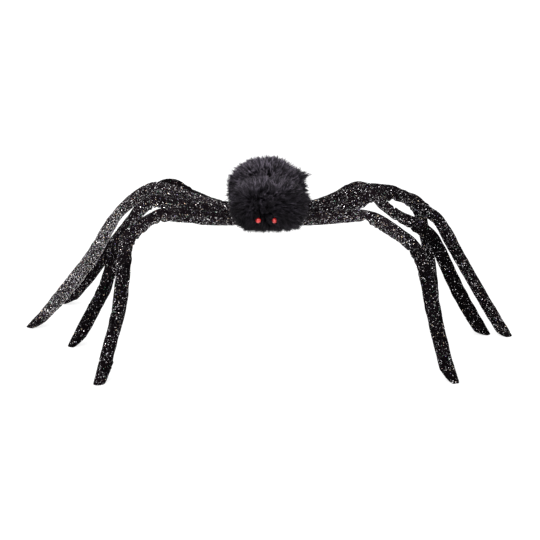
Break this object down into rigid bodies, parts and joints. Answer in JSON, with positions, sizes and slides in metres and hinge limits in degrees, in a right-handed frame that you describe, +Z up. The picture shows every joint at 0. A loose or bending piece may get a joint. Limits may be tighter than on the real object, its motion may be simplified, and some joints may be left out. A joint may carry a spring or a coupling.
{
  "type": "furry toy spider decoration",
  "caption": "Black plush toy spider with two furry body balls and red bead eyes, standing on long bendable legs of glitter fabric.",
  "frame": {"origin": "on the floor, under the middle of the standing spider's bounding box", "axes": "+X towards the spider's left legs, -Y the way its head faces, +Z up"},
  "size_m": [0.769, 0.3233, 0.2819],
  "materials": {
    "black_fur": "long-pile plush, matte with soft grey tips",
    "glitter_fabric": "black knit with fine silver glitter",
    "red_bead": "glossy moulded bead"
  },
  "bodies": {
    "root": {"head": "black_fur", "abdomen": "black_fur", "eye_left": "red_bead", "eye_right": "red_bead", "leg_left_1": "glitter_fabric", "leg_left_2": "glitter_fabric", "leg_left_3": "glitter_fabric", "leg_left_4": "glitter_fabric", "leg_right_1": "glitter_fabric", "leg_right_2": "glitter_fabric", "leg_right_3": "glitter_fabric", "leg_right_4": "glitter_fabric"}
  },
  "joints": []
}
